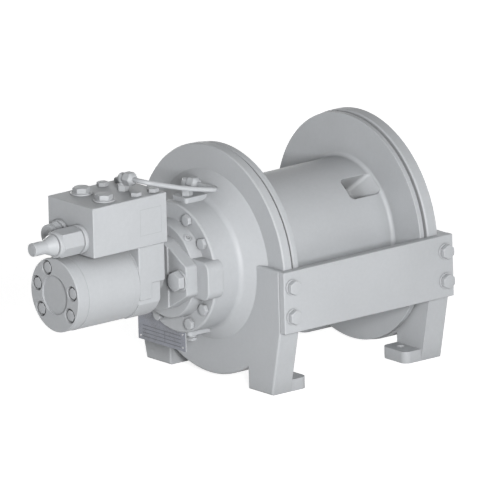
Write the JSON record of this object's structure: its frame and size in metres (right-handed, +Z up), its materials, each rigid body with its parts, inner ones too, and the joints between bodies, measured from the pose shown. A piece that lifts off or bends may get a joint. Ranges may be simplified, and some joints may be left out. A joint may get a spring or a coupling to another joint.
{
  "type": "hydraulic winch rope drum",
  "caption": "Wire rope drum of a hydraulic planetary winch: flanged drum in two cast side frames joined by tie plates, with brake housing, motor, valve block and brake pipe.",
  "frame": {"origin": "centre of the foot bolt pattern, on the undersides of the feet", "axes": "X along the drum axis with the hydraulic motor at -X; Y across, the front tie plate at -Y; +Z up"},
  "size_m": [0.5451, 0.316, 0.2865],
  "materials": {
    "grey_paint": "satin grey enamel sprayed over the assembled castings",
    "drum_paint": "satin grey enamel on the turned drum",
    "bolt_paint": "the same enamel over the bolt heads",
    "gear_steel": "ground and hardened gear steel, oiled",
    "bearing_steel": "ground bearing steel",
    "friction_lining": "sintered brake lining on a steel core",
    "spring_steel": "blackened spring steel",
    "seal_rubber": "black nitrile rubber",
    "valve_paint": "the same enamel over the valve block and its fittings",
    "plate_foil": "matt blue-grey anodised sheet",
    "rivet_metal": "bright drive rivets"
  },
  "bodies": {
    "winch_frame": {"drive_side_frame": "grey_paint", "far_side_frame": "grey_paint", "front_tie_plate": "grey_paint", "rear_tie_plate": "grey_paint", "tie_plate_bolts": "bolt_paint", "tie_plate_washers": "bolt_paint", "brake_cover": "grey_paint", "brake_cover_bolts": "bolt_paint", "brake_cover_plug": "bolt_paint", "oil_drain_plug": "bolt_paint", "brake_steel_discs": "gear_steel", "brake_disc_springs": "spring_steel", "drum_bearing_inner_ring": "bearing_steel", "far_bearing_inner_ring": "bearing_steel", "shaft_bearing_outer_ring": "bearing_steel", "second_stage_carrier": "gear_steel", "second_stage_pins": "gear_steel", "carrier_screws": "gear_steel", "far_side_trunnion": "grey_paint", "trunnion_bolts": "bolt_paint", "motor_end_cover": "grey_paint", "motor_cover_bolts": "bolt_paint", "motor_gear_ring": "grey_paint", "motor_spacer_plate": "grey_paint", "motor_housing": "grey_paint", "motor_flange_bolts": "bolt_paint", "motor_flange_washers": "bolt_paint", "valve_block": "valve_paint", "valve_block_bolts": "bolt_paint", "port_plugs": "valve_paint", "counterbalance_cartridge": "valve_paint", "cartridge_adjuster_cap": "valve_paint", "second_cartridge": "valve_paint", "valve_block_elbow": "valve_paint", "brake_port_elbow": "valve_paint", "pipe_nuts": "valve_paint", "brake_pipe": "valve_paint", "nameplate_bracket": "grey_paint", "nameplate": "plate_foil", "nameplate_rivets": "rivet_metal"},
    "rope_drum": {"drum": "drum_paint", "ring_gear": "gear_steel", "drum_bearing_outer_ring": "bearing_steel", "far_bearing_outer_ring": "bearing_steel", "drive_side_seal": "seal_rubber", "far_side_seal": "seal_rubber"},
    "first_stage_cage": {"first_stage_carrier": "gear_steel", "first_stage_pins": "gear_steel", "second_stage_sun": "gear_steel"},
    "input_line": {"input_shaft": "gear_steel", "brake_friction_discs": "friction_lining", "motor_shaft": "gear_steel", "shaft_bearing_inner_ring": "bearing_steel"},
    "release_piston": {"brake_piston": "gear_steel"},
    "stage_1_planet_1": {"first_stage_planet_1": "gear_steel"},
    "stage_2_planet_1": {"second_stage_planet_1": "gear_steel"},
    "stage_1_planet_2": {"first_stage_planet_2": "gear_steel"},
    "stage_2_planet_2": {"second_stage_planet_2": "gear_steel"},
    "stage_1_planet_3": {"first_stage_planet_3": "gear_steel"},
    "stage_2_planet_3": {"second_stage_planet_3": "gear_steel"}
  },
  "joints": [
    {"name": "drum_spin", "type": "hinge", "parent": "winch_frame", "child": "rope_drum", "pos_m": [0, 0, 0.146], "axis": [1, 0, 0], "continuous": true},
    {"name": "carrier_spin", "type": "hinge", "parent": "winch_frame", "child": "first_stage_cage", "pos_m": [0, 0, 0.146], "axis": [1, 0, 0], "continuous": true},
    {"name": "input_spin", "type": "hinge", "parent": "winch_frame", "child": "input_line", "pos_m": [0, 0, 0.146], "axis": [1, 0, 0], "continuous": true},
    {"name": "stage_2_planet_1_spin", "type": "hinge", "parent": "winch_frame", "child": "stage_2_planet_1", "pos_m": [0, 0, 0.191], "axis": [1, 0, 0], "continuous": true},
    {"name": "stage_1_planet_1_spin", "type": "hinge", "parent": "first_stage_cage", "child": "stage_1_planet_1", "pos_m": [0, 0, 0.18725], "axis": [1, 0, 0], "continuous": true},
    {"name": "stage_2_planet_2_spin", "type": "hinge", "parent": "winch_frame", "child": "stage_2_planet_2", "pos_m": [0, -0.03897, 0.1235], "axis": [1, 0, 0], "continuous": true},
    {"name": "stage_1_planet_2_spin", "type": "hinge", "parent": "first_stage_cage", "child": "stage_1_planet_2", "pos_m": [0, -0.03572, 0.12537], "axis": [1, 0, 0], "continuous": true},
    {"name": "stage_2_planet_3_spin", "type": "hinge", "parent": "winch_frame", "child": "stage_2_planet_3", "pos_m": [0, 0.03897, 0.1235], "axis": [1, 0, 0], "continuous": true},
    {"name": "stage_1_planet_3_spin", "type": "hinge", "parent": "first_stage_cage", "child": "stage_1_planet_3", "pos_m": [0, 0.03572, 0.12537], "axis": [1, 0, 0], "continuous": true},
    {"name": "brake_release", "type": "slide", "parent": "winch_frame", "child": "release_piston", "axis": [-1, 0, 0], "range_m": [0, 0.0015], "stiffness_N_per_m": 2000000, "deforming": ["brake_disc_springs"]}
  ],
  "couplings": [
    {"joint": "carrier_spin", "follows": "drum_spin", "ratio": -3},
    {"joint": "input_spin", "follows": "drum_spin", "ratio": -21},
    {"joint": "stage_2_planet_1_spin", "follows": "drum_spin", "ratio": 3},
    {"joint": "stage_1_planet_1_spin", "follows": "drum_spin", "ratio": 10.286},
    {"joint": "stage_2_planet_2_spin", "follows": "drum_spin", "ratio": 3},
    {"joint": "stage_1_planet_2_spin", "follows": "drum_spin", "ratio": 10.286},
    {"joint": "stage_2_planet_3_spin", "follows": "drum_spin", "ratio": 3},
    {"joint": "stage_1_planet_3_spin", "follows": "drum_spin", "ratio": 10.286}
  ]
}
